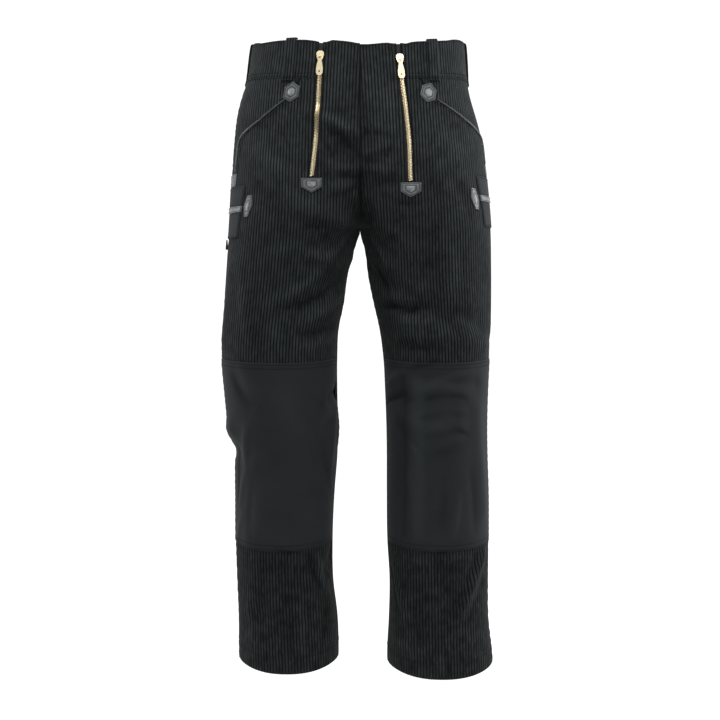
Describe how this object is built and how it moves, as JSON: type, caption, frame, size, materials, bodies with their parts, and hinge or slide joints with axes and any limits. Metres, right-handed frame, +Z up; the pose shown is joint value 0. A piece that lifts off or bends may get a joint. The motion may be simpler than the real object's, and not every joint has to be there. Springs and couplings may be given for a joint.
{
  "type": "corduroy work trousers",
  "caption": "Hollow worn-form corduroy work trousers with brass front zips, slanted pockets, thigh pockets and smooth knee patches.",
  "frame": {"origin": "middle of the waist opening, inside the waistband, 34 mm below its top edge at the side seams", "axes": "+Z up along the body, -Y towards the front, +X towards the wearer's left"},
  "size_m": [0.4503, 0.2745, 1.0429],
  "materials": {
    "corduroy": "wide-wale cotton corduroy, black with a cool cast, worn to a soft sheen on the ribs",
    "plain_cloth": "smooth plain-woven hard-wearing cloth, matt charcoal",
    "leather": "grey pebbled leather with stitched edges",
    "zip_tape": "woven black zip tape",
    "zip_brass": "pale warm brass",
    "tab": "plain dark red woven tape"
  },
  "bodies": {
    "trousers": {"front_right": "corduroy", "front_left": "corduroy", "back_right": "corduroy", "back_left": "corduroy", "hip_facing_right": "corduroy", "hip_facing_left": "corduroy", "waistband_right": "corduroy", "waistband_left": "corduroy", "belt_loop_front_right": "corduroy", "belt_loop_front_left": "corduroy", "belt_loop_side_right": "corduroy", "belt_loop_side_left": "corduroy", "belt_loop_back": "corduroy", "knee_patch_right": "plain_cloth", "knee_patch_left": "plain_cloth", "thigh_pocket_underlay_right": "plain_cloth", "thigh_pocket_underlay_left": "plain_cloth", "thigh_pocket_face_right": "plain_cloth", "thigh_pocket_face_left": "plain_cloth", "zip_end_patch_right": "leather", "zip_end_patch_left": "leather", "mouth_patch_right": "leather", "mouth_patch_left": "leather", "pocket_piping_right": "leather", "pocket_piping_left": "leather", "mouth_end_patch_right": "leather", "mouth_end_patch_left": "leather", "thigh_pocket_binding_right": "leather", "thigh_pocket_binding_left": "leather", "thigh_pocket_patch_right": "leather", "thigh_pocket_patch_left": "leather", "zip_tape_right": "zip_tape", "zip_tape_left": "zip_tape", "zip_chain_right": "zip_brass", "zip_chain_left": "zip_brass", "zip_slider_right": "zip_brass", "zip_slider_left": "zip_brass", "side_tab": "tab"},
    "pull_right": {"zip_pull_right": "zip_brass"},
    "pull_left": {"zip_pull_left": "zip_brass"}
  },
  "joints": [
    {"name": "pull_right_hinge", "type": "hinge", "parent": "trousers", "child": "pull_right", "pos_m": [-0.06205, -0.11187, -0.00198], "axis": [-0.9862, 0.1642, 0.0228], "range_deg": [0, 150]},
    {"name": "pull_left_hinge", "type": "hinge", "parent": "trousers", "child": "pull_left", "pos_m": [0.06221, -0.1121, -0.0066], "axis": [-0.9803, -0.1852, -0.0694], "range_deg": [0, 150]}
  ]
}
